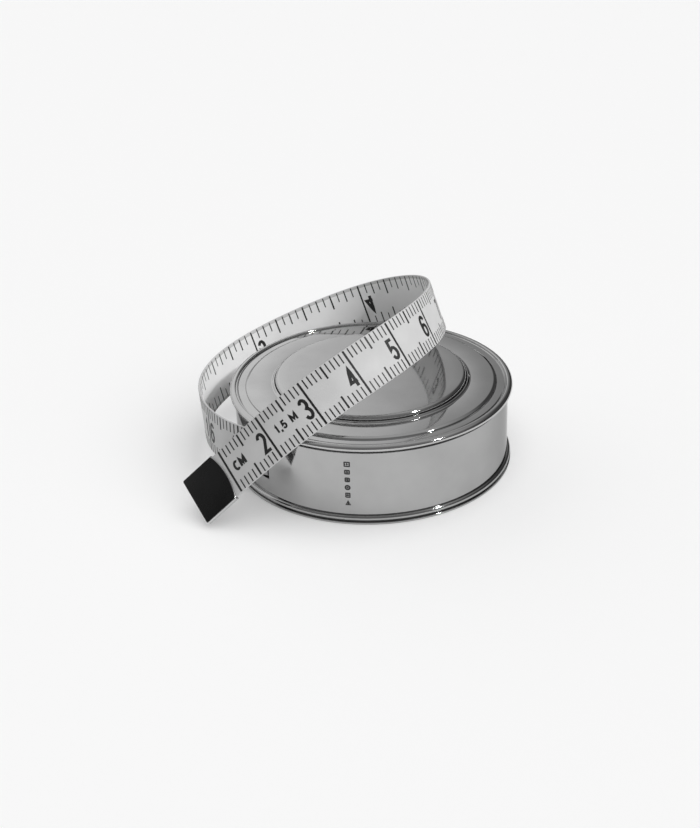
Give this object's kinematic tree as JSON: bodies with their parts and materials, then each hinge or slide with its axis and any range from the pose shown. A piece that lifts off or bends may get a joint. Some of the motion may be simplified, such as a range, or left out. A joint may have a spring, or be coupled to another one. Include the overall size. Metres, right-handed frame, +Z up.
{
  "type": "tape measure",
  "caption": "Round push-button tape measure in a polished metal case, its printed blade drawn out in a loop over the lid to a square end tab.",
  "frame": {"origin": "centre of the round base, on the surface that the case stands on", "axes": "+Z up through the middle of the button; +X and +Y lie in the base; the blade leaves the wall towards -X -Y"},
  "size_m": [0.0632, 0.0588, 0.0336],
  "materials": {
    "case_silver": "mirror polished",
    "lid_silver": "mirror polished",
    "button_silver": "mirror polished",
    "tab_metal": "polished",
    "tab_enamel": "hard gloss enamel",
    "blade_tape": "satin coated tape with printed scales",
    "shell_plastic": "moulded",
    "reel_plastic": "moulded",
    "guide_plastic": "moulded",
    "steel": "turned",
    "spring_steel": "blued spring steel",
    "brass": "turned",
    "brake_rubber": "moulded"
  },
  "bodies": {
    "case": {"base_plate": "case_silver", "foot_ring": "case_silver", "case_wall": "case_silver", "lid_plate": "lid_silver", "rim_bead": "lid_silver", "button_collar": "lid_silver", "lower_shell": "shell_plastic", "upper_shell": "shell_plastic", "mouth_guide": "guide_plastic", "guide_pins": "steel", "arbor": "brass", "arbor_screws": "steel", "thrust_washer": "brass"},
    "reel": {"reel_drum": "reel_plastic", "spring_cover": "steel", "power_spring": "spring_steel", "spring_hook": "brass", "wound_blade": "blade_tape", "blade_clip": "brass"},
    "button": {"button_cap": "button_silver", "plunger": "reel_plastic", "return_spring": "spring_steel", "brake_disc": "steel", "brake_pad": "brake_rubber", "stem_clip": "brass"},
    "blade": {"blade": "blade_tape", "tab_front": "tab_metal", "tab_back": "tab_metal", "tab_enamel": "tab_enamel", "tab_rivets": "tab_metal"}
  },
  "joints": [
    {"name": "reel_spin", "type": "hinge", "parent": "case", "child": "reel", "pos_m": [0, 0, 0.01], "axis": [0, 0, -1], "range_deg": [0, 25]},
    {"name": "button_press", "type": "slide", "parent": "case", "child": "button", "axis": [0, 0, -1], "range_m": [0, 0.001], "stiffness_N_per_m": 1200, "springref_m": -0.001, "deforming": ["return_spring"]},
    {"name": "blade_pull", "type": "slide", "parent": "case", "child": "blade", "axis": [-0.9409, 0.3386, 0], "range_m": [0, 0.01]}
  ],
  "couplings": [
    {"joint": "blade_pull", "follows": "reel_spin", "m_per_rad": 0.02275}
  ]
}
